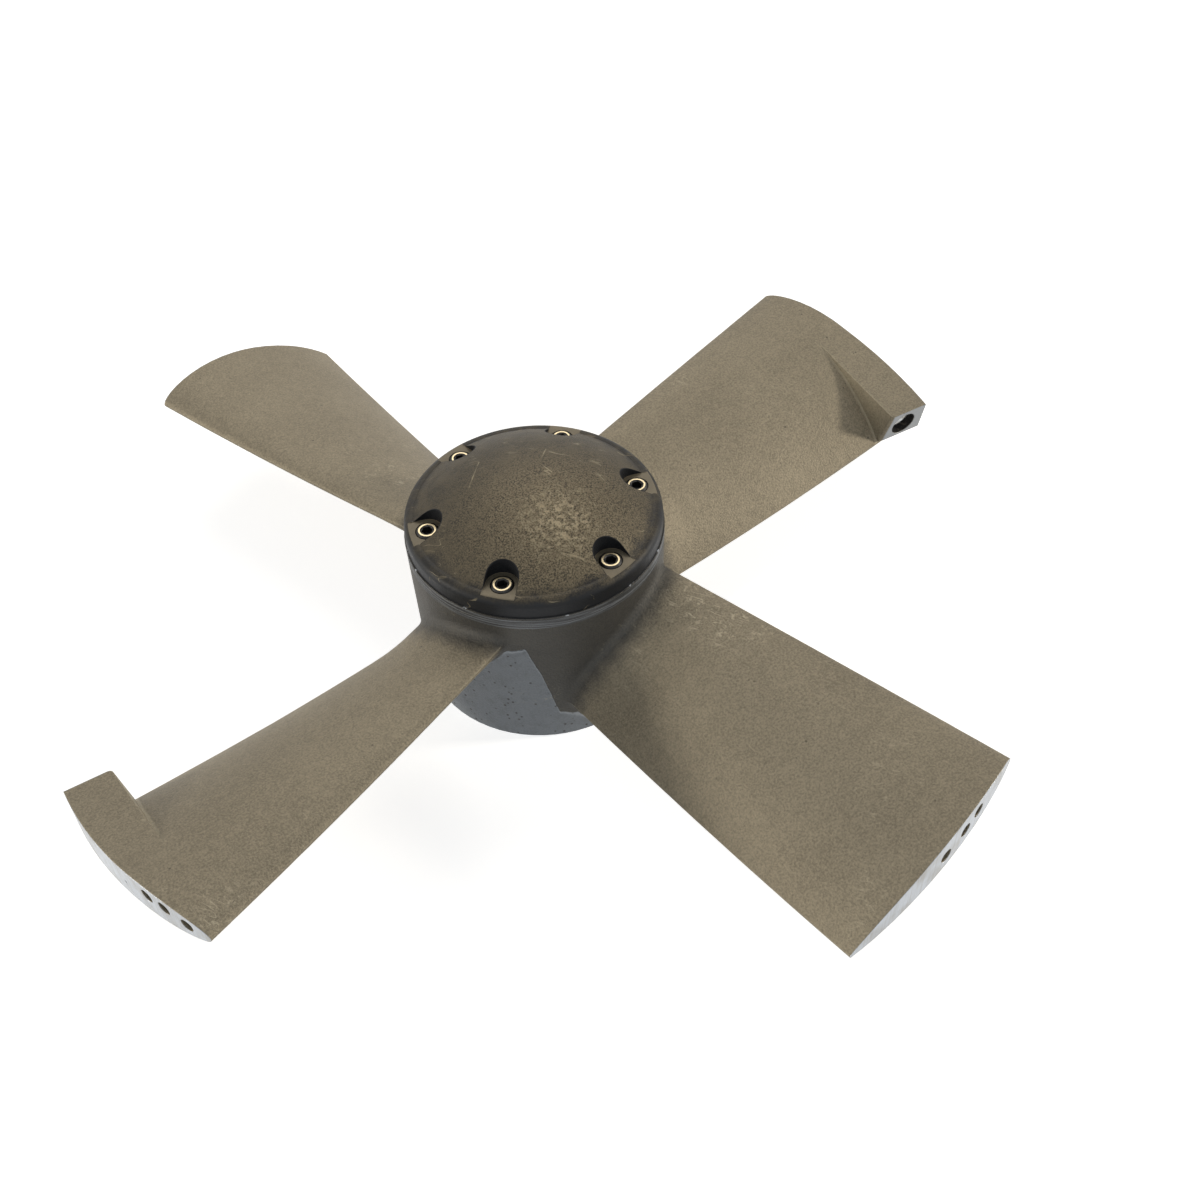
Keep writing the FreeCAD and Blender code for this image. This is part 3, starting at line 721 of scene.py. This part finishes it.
@dataclass(frozen=True)
class RimBand:
    """The band of turned lines under the cover, with the dark seam above it."""

    near_span: Span = (80.2 * MM, 77.6 * MM)
    band_span: Span = (-8.6 * MM, -7.8 * MM)
    band_strength: float = 0.7
    line_size: float = 0.9 * MM
    line_stretch: Triple = (0.03, 0.03, 1.0)
    line_span: Span = (0.35, 0.8)
    line_strength: float = 0.55
    seam_span: Span = (-0.9 * MM, -0.4 * MM)
    seam_strength: float = 0.85
    chip_size: float = 6 * MM
    chip_span: Span = (0.65, 0.7)

    def colour(self, shader: Shader, palette: CastingPalette, skin: Value,
               rim_height: float) -> tuple[Value, Value]:
        """Colours the band and the seam.

        Args:
            shader: the material.
            palette: its colours.
            skin: the colour so far.
            rim_height: the height of the hub's rim.

        Returns:
            The colour, and the height of the turned lines.
        """
        near = shader.radius().rise(*self.near_span)
        under_rim = shader.axis("Z") - rim_height
        band = under_rim.rise(*self.band_span) * near
        lines = shader.noise(self.line_size, Detail.SOFT, self.line_stretch)
        banded = shader.mix(palette.root_shade_and_band_grey, palette.machined,
                            lines.rise(*self.line_span) * self.line_strength)
        colour = shader.mix(skin, banded, band * self.band_strength)
        seam = under_rim.rise(*self.seam_span) * near
        chips = shader.noise(self.chip_size).rise(*self.chip_span)
        colour = shader.mix(colour, palette.speck, seam * self.seam_strength)
        return shader.mix(colour, palette.machined, seam * chips), lines * band


@dataclass(frozen=True)
class Scuffs:
    """Bright scuffs, thick round a few places and thin elsewhere."""

    places: tuple[Triple, ...] = (
        (46.0, -92.0, 88.0), (62.0, -118.0, 85.0), (160.0, 88.0, 82.0), (-30.0, 118.0, 78.0),
        (-262.0, -112.0, 76.0))
    reach: Span = (30 * MM, 6 * MM)
    scratch_length: float = 16 * MM
    scratch_turn: float = 62.0
    scratch_width: float = 0.012
    scratch_strengths: tuple[float, float] = (0.6, 0.2)
    worn_size: float = 5 * MM
    worn_roughness: float = 0.75
    worn_span: Span = (0.56, 0.66)
    worn_strength: float = 0.45
    patch_size: float = 45 * MM
    patch_span: Span = (0.6, 0.7)

    def mask(self, shader: Shader) -> Value:
        """How far each place is scuffed, from 0 to 1."""
        near = highest([shader.distance_to(Vector(place) * MM).rise(*self.reach)
                        for place in self.places])
        at_places, elsewhere = self.scratch_strengths
        patches = shader.noise(self.patch_size, Detail.BLURRED).rise(*self.patch_span)
        scratches = shader.scratches(self.scratch_length, self.scratch_turn, self.scratch_width)
        worn = shader.noise(self.worn_size, Detail.RICH, roughness=self.worn_roughness)
        lightened = worn.rise(*self.worn_span) * near * self.worn_strength
        return (scratches * (near * at_places + patches * elsewhere)).high(lightened)


@dataclass(frozen=True)
class BlastedCasting:
    """Grit-blasted aluminium, with the places that were machined or left smooth."""

    palette: CastingPalette = CastingPalette()
    skin: CastSkin = CastSkin()
    hub_side: HubSide = HubSide()
    machined_faces: MachinedFaces = MachinedFaces()
    blocks: NozzleBlocks = NozzleBlocks()
    rim_band: RimBand = RimBand()
    scuffs: Scuffs = Scuffs()
    edge_reach: float = 1.2 * MM
    # how strongly edges are painted lighter: partly wear, partly a painted highlight along lit
    # rims and wall feet
    edge_wear_and_highlight_strength: Lift = (0.25, 0.5)
    coarse_depth: float = 0.35 * MM
    grain_depth: float = 0.45 * MM
    mark_share: float = 0.3
    metal: Lift = (0.45, 0.4)
    roughness: Lift = (0.50, 0.18)
    cut_roughness: Lift = (1.0, -0.3)
    mould_polish: float = 0.06
    gloss: float = 0.35

    def material(self, name: str, rim_height: float) -> bpy.types.Material:
        """Makes the material.

        Args:
            name: the material's name.
            rim_height: the height of the hub's machined rim.

        Returns:
            The material.
        """
        shader = Shader(name)
        palette = self.palette
        grain, coarse = self.skin.layers(shader)
        colour = self.skin.colour(shader, palette, grain, coarse)
        colour, low_zone = self.hub_side.colour(shader, palette, colour, grain, coarse)
        colour, marks, faces = self.machined_faces.colour(shader, palette, colour, rim_height)
        colour, ends = self.blocks.colour(shader, palette, colour)
        colour, lines = self.rim_band.colour(shader, palette, colour, rim_height)
        colour = shader.mix(colour, palette.scuff_and_highlight, self.scuffs.mask(shader))
        cut = faces.high(ends)
        # edges, convex and concave alike, painted lighter: partly wear, partly a painted
        # highlight along lit rims and wall feet
        rounded, edge = shader.edges(self.edge_reach)
        lightened = edge * coarse.lifted(*self.edge_wear_and_highlight_strength) * (1.0 - cut)
        colour = shader.mix(colour, palette.scuff_and_highlight, lightened)
        relief = shader.bump(low_zone, self.hub_side.step, rounded)
        relief = shader.bump(coarse, self.coarse_depth, relief)
        fine = grain * (1.0 - cut) + (lines + marks) * self.mark_share
        relief = shader.bump(fine, self.grain_depth, relief)
        roughness = grain.lifted(*self.roughness) * cut.lifted(*self.cut_roughness)
        roughness = roughness - low_zone * self.mould_polish
        return shader.finish(colour, cut.lifted(*self.metal), roughness, relief, self.gloss)


@dataclass(frozen=True)
class DarkCasting:
    """The cover's cast skin: painted shade on the steep rim and in the screw pockets, worn
    lighter in the middle, with a painted highlight round one spot on top.
    """

    worn: Colour = (0.290, 0.236, 0.150)
    skin: Colour = (0.092, 0.077, 0.052)
    dark_skin: Colour = (0.034, 0.030, 0.023)
    # painted shade: near black, on the steep rim and in the screw pockets
    rim: Colour = (0.010, 0.011, 0.013)
    floor: Colour = (0.235, 0.200, 0.140)
    # scratches; also the flecks of the painted highlight
    scratch_and_highlight: Colour = (0.52, 0.44, 0.29)
    grain_size: float = 0.9 * MM
    grain_roughness: float = 0.65
    coarse_size: float = 9 * MM
    tone_shares: tuple[float, float] = (0.6, 0.4)
    tone_span: Span = (0.3, 0.62)
    wear_and_highlight_spot: Vector = Vector((-4.0, -34.0, 140.0)) * MM
    worn_wander: float = 30 * MM
    worn_reach: Span = (100 * MM, 26 * MM)
    worn_grain: Span = (0.36, 0.66)
    worn_strength: float = 0.78
    # the painted highlight round the worn spot on top
    highlight_reach: Span = (46 * MM, 20 * MM)
    highlight_fleck_size: float = 3 * MM
    highlight_fleck_roughness: float = 0.75
    highlight_fleck_span: Span = (0.44, 0.64)
    highlight_strength: float = 0.6
    # the steep rim where shade is painted
    rim_rise: float = 7 * MM
    rim_wander: float = 6 * MM
    # the screw pockets, on whose walls shade is painted
    pocket_span: Span = (9.95 * MM, 9.75 * MM)
    pocket_bottom: Span = (-0.5 * MM, -0.3 * MM)
    floor_span: Span = (0.4 * MM, 0.2 * MM)
    floor_strength: Lift = (0.6, 0.5)
    scratch_length: float = 34 * MM
    scratch_turn: float = 50.0
    scratch_width: float = 0.006
    scratch_gaps: Span = (0.45, 0.6)
    scratch_strength: float = 0.35
    strokes: tuple[tuple[float, float, float, float], ...] = (
        (-12.3, 35.9, -29.5, 20.2), (23.5, 18.5, 11.5, 8.1), (11.5, 8.1, 13.0, -2.9))
    stroke_width: float = 0.5 * MM
    stroke_gaps: Span = (0.35, 0.6)
    stroke_strength: float = 0.5
    coarse_depth: float = 0.3 * MM
    grain_depth: float = 0.35 * MM
    rim_grain: Lift = (1.0, -0.7)
    metal: Lift = (0.35, -0.3)
    roughness: Lift = (0.46, 0.2)
    rim_polish: float = 0.08
    gloss: float = 0.25

    def worn_skin(self, shader: Shader, grain: Value, coarse: Value, tone: Value) -> Value:
        """Mixes the skin, worn golden in the middle, with a painted highlight of bright flecks
        round the same spot.

        Args:
            shader: the material.
            grain: the fine layer of the skin.
            coarse: the coarse layer of the skin.
            tone: both layers together.

        Returns:
            The colour.
        """
        away = shader.distance_to(self.wear_and_highlight_spot) + coarse * self.worn_wander
        colour = shader.mix(self.dark_skin, self.skin, tone.rise(*self.tone_span))
        speckled = away.rise(*self.worn_reach) * grain.rise(*self.worn_grain)
        colour = shader.mix(colour, self.worn, speckled * self.worn_strength)
        # painted highlight: bright flecks round one spot on top
        highlight_flecks = shader.noise(self.highlight_fleck_size, Detail.RICH, roughness=self.highlight_fleck_roughness)
        bright = away.rise(*self.highlight_reach) * highlight_flecks.rise(*self.highlight_fleck_span)
        return shader.mix(colour, self.scratch_and_highlight, bright * self.highlight_strength)

    def scratches(self, shader: Shader, coarse: Value) -> Value:
        """Fine scratches all over and a few long strokes.

        Args:
            shader: the material.
            coarse: the coarse layer of the skin, which breaks them up.

        Returns:
            How far each place is scratched, from 0 to 1.
        """
        fine = shader.scratches(self.scratch_length, self.scratch_turn, self.scratch_width)
        found = [fine * coarse.rise(*self.scratch_gaps) * self.scratch_strength]
        for from_x, from_y, to_x, to_y in self.strokes:
            stroke = shader.stroke(Vector((from_x, from_y, 0.0)) * MM,
                                   Vector((to_x, to_y, 0.0)) * MM, self.stroke_width)
            found.append(stroke * coarse.rise(*self.stroke_gaps) * self.stroke_strength)
        return highest(found)

    def material(self, name: str, pocket_height: float,
                 screws: ScrewPattern) -> bpy.types.Material:
        """Makes the material.

        Args:
            name: the material's name.
            pocket_height: the height of the floors of the screw pockets.
            screws: where the pockets lie.

        Returns:
            The material.
        """
        shader = Shader(name)
        grain = shader.noise(self.grain_size, roughness=self.grain_roughness)
        coarse = shader.noise(self.coarse_size)
        fine_share, coarse_share = self.tone_shares
        tone = grain * fine_share + coarse * coarse_share
        above_floor = shader.axis("Z") - pocket_height
        # painted shade: the steep rim below the pockets' floors, painted near black; the same
        # zone is also smoother and less metallic
        rim = (above_floor + coarse * self.rim_wander).rise(self.rim_rise, 0.0)
        colour = shader.mix(self.worn_skin(shader, grain, coarse, tone), self.rim, rim)
        # painted shade: the pockets' walls, painted near black
        pocket = screws.distance(shader, open_outwards=True).rise(*self.pocket_span)
        pocket = pocket * above_floor.rise(*self.pocket_bottom)
        colour = shader.mix(colour, self.rim, pocket)
        floor = abs(above_floor).rise(*self.floor_span) * pocket
        colour = shader.mix(colour, self.floor, floor * tone.lifted(*self.floor_strength))
        colour = shader.mix(colour, self.scratch_and_highlight, self.scratches(shader, coarse) * (1.0 - pocket))
        relief = shader.bump(coarse, self.coarse_depth)
        relief = shader.bump(grain * rim.lifted(*self.rim_grain), self.grain_depth, relief)
        roughness = grain.lifted(*self.roughness) - rim * self.rim_polish
        return shader.finish(colour, rim.lifted(*self.metal), roughness, relief, self.gloss)


@dataclass(frozen=True)
class ScrewSteel:
    """A screw's head: black all over, with a bright ring rubbed by the key."""

    black: Colour = (0.022, 0.021, 0.020)
    ring: Colour = (0.50, 0.42, 0.27)
    ring_inside: Span = (4.05 * MM, 4.35 * MM)
    ring_outside: Span = (5.35 * MM, 5.05 * MM)
    head_top: Span = (0.1 * MM, 0.4 * MM)
    stain_size: float = 2 * MM
    mark_size: float = 1 * MM
    mark_stretch: Triple = (1.0, 1.0, 6.0)
    mark_depth: float = 0.04 * MM
    ring_strength: Lift = (0.7, 0.45)
    metal: Lift = (0.5, 0.45)
    roughness: Lift = (0.42, -0.1)
    stain_roughness: float = 0.1

    def material(self, name: str, pocket_height: float,
                 screws: ScrewPattern) -> bpy.types.Material:
        """Makes the material.

        Args:
            name: the material's name.
            pocket_height: the height of the floors of the screw pockets.
            screws: where the screws stand.

        Returns:
            The material.
        """
        shader = Shader(name)
        reach = screws.distance(shader)
        ring = reach.rise(*self.ring_inside) * reach.rise(*self.ring_outside)
        bright = ring * (shader.axis("Z") - pocket_height).rise(*self.head_top)
        stain = shader.noise(self.stain_size, Detail.RICH)
        colour = shader.mix(self.black, self.ring, bright * stain.lifted(*self.ring_strength))
        marks = shader.noise(self.mark_size, stretch=self.mark_stretch)
        relief = shader.bump(marks, self.mark_depth)
        roughness = bright.lifted(*self.roughness) + stain * self.stain_roughness
        return shader.finish(colour, bright.lifted(*self.metal), roughness, relief)


@dataclass(frozen=True)
class TurnedMetal:
    """A turned, ground or drawn metal with fine tool marks."""

    colour: Colour
    dark: Colour
    roughness: float
    marks: Direction = Direction.ROUND_AXIS
    metal: float = 1.0
    line_size: float = 4 * MM
    line_depth: float = 0.03 * MM
    stain_size: float = 8 * MM
    stain_span: Span = (0.45, 0.75)
    stain_share: float = 0.5
    line_share: float = 0.2
    line_roughness: float = 0.12

    def material(self, name: str) -> bpy.types.Material:
        """Makes the material under a name."""
        shader = Shader(name)
        lines = shader.noise(self.line_size, Detail.RICH, self.marks.value)
        stain = shader.noise(self.stain_size, Detail.RICH).rise(*self.stain_span)
        dulled = stain * self.stain_share + lines * self.line_share
        colour = shader.mix(self.colour, self.dark, dulled)
        roughness = lines.lifted(self.roughness, self.line_roughness)
        return shader.finish(colour, self.metal, roughness, shader.bump(lines, self.line_depth))


@dataclass(frozen=True)
class MouldedRubber:
    """Black moulded rubber with a faint bloom."""

    colour: Colour = (0.018, 0.018, 0.019)
    bloom: Colour = (0.05, 0.05, 0.05)
    bloom_size: float = 6 * MM
    bloom_span: Span = (0.45, 0.8)
    bloom_strength: float = 0.6
    grain_size: float = 0.8 * MM
    grain_depth: float = 0.05 * MM
    roughness: Lift = (0.55, 0.15)

    def material(self, name: str) -> bpy.types.Material:
        """Makes the material under a name."""
        shader = Shader(name)
        patches = shader.noise(self.bloom_size, Detail.RICH)
        bloom = patches.rise(*self.bloom_span) * self.bloom_strength
        colour = shader.mix(self.colour, self.bloom, bloom)
        relief = shader.bump(shader.noise(self.grain_size), self.grain_depth)
        return shader.finish(colour, 0.0, patches.lifted(*self.roughness), relief)


@dataclass
class SubAssembly:
    """What every sub-assembly shares: it dresses its own solids and reports them."""

    def dress(self, node: str, material: bpy.types.Material) -> None:
        """Gives a solid its material.

        Args:
            node: the solid's name.
            material: its new material.
        """
        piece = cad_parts[node]
        piece.data.materials.clear()
        piece.data.materials.append(material)
        log.info("%s is dressed in %s", node, material.name)


@dataclass
class Casting(SubAssembly):
    """The hub with its blades and nozzle blocks."""

    node: str = "impeller"
    finish: BlastedCasting = field(default_factory=BlastedCasting)

    def build(self) -> None:
        """Dresses the casting."""
        rim_height = box_of(self.node)[1].z
        self.dress(self.node, self.finish.material("blasted_casting", rim_height))


@dataclass
class Cover(SubAssembly):
    """The domed cover with its screws and its seal."""

    pocket_rise: float = 12 * MM
    screws: ScrewPattern = field(default_factory=ScrewPattern)
    finish: DarkCasting = field(default_factory=DarkCasting)
    screw_finish: ScrewSteel = field(default_factory=ScrewSteel)
    seal_finish: MouldedRubber = field(default_factory=MouldedRubber)

    def build(self) -> None:
        """Dresses the cover, its screws and its seal."""
        height = box_of("impeller")[1].z + self.pocket_rise
        self.dress("hub_cover", self.finish.material("dark_casting", height, self.screws))
        self.dress("cover_screws", self.screw_finish.material("screw_steel", height, self.screws))
        self.dress("cover_seal_ring", self.seal_finish.material("seal_rubber"))


@dataclass
class TipNozzles(SubAssembly):
    """The turned nozzle in each of the two blocks."""

    finish: TurnedMetal = TurnedMetal((0.55, 0.54, 0.51), (0.25, 0.24, 0.22), 0.32,
                                      Direction.UPRIGHT)

    def build(self) -> None:
        """Dresses both nozzles."""
        material = self.finish.material("nozzle_steel")
        for node in ("first_nozzle", "second_nozzle"):
            self.dress(node, material)


@dataclass
class SpindleBearings(SubAssembly):
    """The two ball bearings with their spacers, retaining ring and lip seal."""

    ring_finish: TurnedMetal = TurnedMetal((0.66, 0.66, 0.66), (0.4, 0.39, 0.37), 0.22)
    ball_finish: TurnedMetal = TurnedMetal((0.78, 0.78, 0.78), (0.6, 0.6, 0.6), 0.08)
    cage_finish: TurnedMetal = TurnedMetal((0.62, 0.42, 0.16), (0.35, 0.22, 0.08), 0.35)
    spring_finish: TurnedMetal = TurnedMetal((0.09, 0.09, 0.1), (0.04, 0.04, 0.04), 0.4)
    seal_finish: MouldedRubber = field(default_factory=MouldedRubber)

    def build(self) -> None:
        """Dresses every piece of the bearings."""
        ring = self.ring_finish.material("bearing_steel")
        ball = self.ball_finish.material("ball_steel")
        cage = self.cage_finish.material("cage_brass")
        for level in Level:
            for piece in ("inner_ring", "outer_ring", "shields"):
                self.dress(f"{level.value}_bearing_{piece}", ring)
            self.dress(f"{level.value}_bearing_balls", ball)
            self.dress(f"{level.value}_bearing_cage", cage)
        self.dress("inner_spacer", ring)
        self.dress("outer_spacer", ring)
        self.dress("retaining_ring", self.spring_finish.material("spring_steel"))
        self.dress("shaft_seal", self.seal_finish.material("lip_rubber"))


@dataclass(frozen=True)
class Lamp:
    """One soft rectangular lamp, aimed at the hub."""

    name: str
    azimuth: float
    elevation: float
    distance: float
    size: float
    power: float
    colour: Colour = (1.0, 0.93, 0.82)

    def build(self, aim: Vector) -> None:
        """Hangs the lamp.

        Args:
            aim: the point that it lights.
        """
        turn = math.radians(self.azimuth)
        lift = math.radians(self.elevation)
        way = Vector((math.cos(turn) * math.cos(lift), math.sin(turn) * math.cos(lift),
                      math.sin(lift)))
        data = bpy.data.lights.new(self.name, "AREA")
        data.energy = self.power
        data.size = self.size
        data.color = self.colour
        lamp = bpy.data.objects.new(self.name, data)
        lamp.location = aim + way * self.distance
        lamp.rotation_euler = way.to_track_quat("Z", "Y").to_euler()
        bpy.context.scene.collection.objects.link(lamp)


@dataclass
class Studio:
    """The floor, the lamps, the pale surroundings and the camera."""

    lens: float = 46.77
    camera_place: Vector = field(default_factory=lambda: Vector((-0.3423, -0.5634, 0.7526)))
    camera_aim: Vector = field(default_factory=lambda: Vector((0.0196, -0.03605, 0.06)))
    camera_roll: float = -2.63
    clip_span: Span = (0.05, 50.0)
    lamp_aim: Vector = field(default_factory=lambda: Vector((0.0, 0.0, 0.06)))
    floor_size: float = 12.0
    floor_colour: Colour = (0.8, 0.8, 0.8)
    white: Colour = (1.0, 1.0, 1.0)
    floor_glow: float = 0.76
    floor_fade: Span = (0.8, 2.4)
    floor_drop: float = 0.2 * MM
    lamps: tuple[Lamp, ...] = (
        Lamp("lamp_left", azimuth=157.0, elevation=11.0, distance=3.0, size=0.42,
             power=38.0),
        Lamp("lamp_right", azimuth=-33.0, elevation=16.5, distance=3.0, size=0.38,
             power=46.0),
        Lamp("lamp_behind", azimuth=65.0, elevation=52.0, distance=1.1, size=0.6,
             power=3.7, colour=(1.0, 0.95, 0.87)),
        Lamp("lamp_front", azimuth=-120.0, elevation=24.0, distance=2.2, size=1.2,
             power=4.6, colour=(0.74, 0.87, 1.0)),
    )
    surroundings: float = 0.15
    surroundings_colour: Colour = (0.93, 0.96, 1.0)

    def build(self) -> None:
        """Builds the studio."""
        self.build_floor()
        self.build_world()
        for lamp in self.lamps:
            lamp.build(self.lamp_aim)
        self.build_camera()
        bpy.context.scene.view_settings.view_transform = "Standard"

    def build_floor(self) -> None:
        """Lays a pale floor that shows white to the camera and keeps the object's shadow."""
        mesh = bpy.data.meshes.new("floor")
        shape = bmesh.new()
        bmesh.ops.create_grid(shape, x_segments=2, y_segments=2, size=self.floor_size / 2,
                              matrix=Matrix.Translation((0.0, 0.0, -self.floor_drop)))
        shape.to_mesh(mesh)
        shape.free()
        floor = bpy.data.objects.new("floor", mesh)
        bpy.context.scene.collection.objects.link(floor)
        shader = Shader("floor_white")
        paint = shader.node("ShaderNodeBsdfDiffuse", {}, {"Color": self.floor_colour})
        glow = shader.node("ShaderNodeEmission", {}, {"Color": self.white,
                                                      "Strength": self.floor_glow})
        lit = shader.node("ShaderNodeAddShader", {}, {"Shader": paint, "Shader_001": glow})
        bright = shader.node("ShaderNodeEmission", {}, {"Color": self.white, "Strength": 1.0})
        far = shader.radius().rise(*self.floor_fade)
        shader.close(shader.blend(paint, shader.blend(lit, bright, far), shader.seen()))
        mesh.materials.append(shader.material)

    def build_world(self) -> None:
        """Makes the surroundings white where they are seen and plain where they light."""
        world = bpy.data.worlds.new("surroundings")
        bpy.context.scene.world = world
        world.use_nodes = True
        graph = Graph(world.node_tree, "ShaderNodeOutputWorld")
        light = graph.node("ShaderNodeBackground", {}, {"Color": self.surroundings_colour,
                                                        "Strength": self.surroundings})
        bright = graph.node("ShaderNodeBackground", {}, {"Color": self.white, "Strength": 1.0})
        graph.close(graph.blend(light, bright, graph.seen()))

    def build_camera(self) -> None:
        """Places the camera at the photograph's viewing angle."""
        data = bpy.data.cameras.new("camera")
        data.lens = self.lens
        data.clip_start, data.clip_end = self.clip_span
        camera = bpy.data.objects.new("camera", data)
        look = (self.camera_aim - self.camera_place).normalized()
        turn = look.to_track_quat("-Z", "Y").to_matrix().to_4x4()
        roll = Matrix.Rotation(math.radians(self.camera_roll), 4, "Z")
        camera.matrix_world = Matrix.Translation(self.camera_place) @ turn @ roll
        bpy.context.scene.collection.objects.link(camera)
        bpy.context.scene.camera = camera


def main() -> None:
    """Builds the studio and dresses every sub-assembly."""
    logging.basicConfig(level=logging.INFO, format="%(name)s: %(message)s")
    Studio().build()
    for assembly in (Casting(), Cover(), TipNozzles(), SpindleBearings()):
        assembly.build()


if __name__ == "__main__":
    main()
